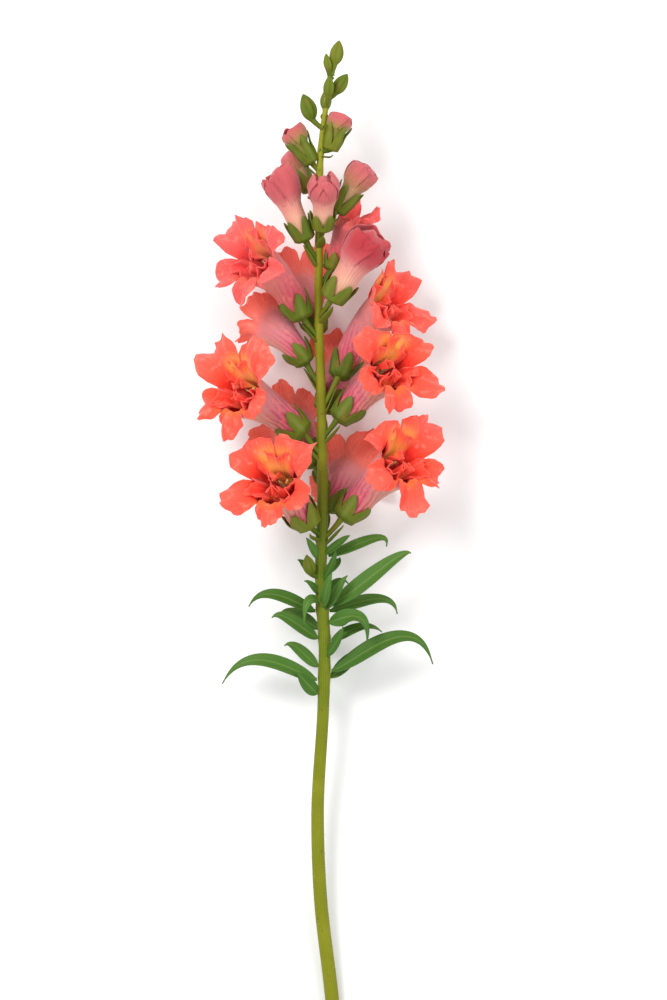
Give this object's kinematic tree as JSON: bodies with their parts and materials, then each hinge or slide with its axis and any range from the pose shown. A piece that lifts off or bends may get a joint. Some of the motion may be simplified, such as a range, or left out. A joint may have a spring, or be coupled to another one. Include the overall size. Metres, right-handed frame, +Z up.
{
  "type": "snapdragon stem",
  "caption": "Cut snapdragon stem lying on its lower flowers: a leafy stalk with two-lipped ruffled flowers and buds towards its tip.",
  "frame": {"origin": "middle of the plant's bounding box in X and Y, at the height of the surface it lies on", "axes": "+Y along the stem from the cut end to the tip, +X across it, +Z up from the surface"},
  "size_m": [0.1131, 0.452, 0.0662],
  "materials": {
    "stem_green": "satin, slightly fleshy plant skin",
    "leaf_green": "matte leaf with a pale midrib",
    "petal_coral": "velvety petal, yellow palate and red throat",
    "bud_pink": "velvety closed petal"
  },
  "bodies": {
    "root": {"stem": "stem_green", "leaf_01": "leaf_green", "leaf_02": "leaf_green", "leaf_03": "leaf_green", "leaf_04": "leaf_green", "leaf_05": "leaf_green", "leaf_06": "leaf_green", "leaf_07": "leaf_green", "leaf_08": "leaf_green", "leaf_09": "leaf_green", "leaf_10": "leaf_green", "leaf_11": "leaf_green", "leaf_12": "leaf_green", "leaf_13": "leaf_green", "leaf_14": "leaf_green", "bloom_01": "petal_coral", "bloom_02": "petal_coral", "bloom_03": "petal_coral", "bloom_04": "petal_coral", "bloom_05": "petal_coral", "bloom_06": "petal_coral", "bloom_07": "petal_coral", "bloom_08": "petal_coral", "bloom_09": "petal_coral", "bloom_10": "petal_coral", "bloom_11": "petal_coral", "bloom_12": "petal_coral", "bud_01": "bud_pink", "bud_02": "bud_pink", "bud_03": "bud_pink", "bud_04": "bud_pink", "bud_05": "bud_pink", "bud_06": "bud_pink", "bud_07": "bud_pink"}
  },
  "joints": []
}
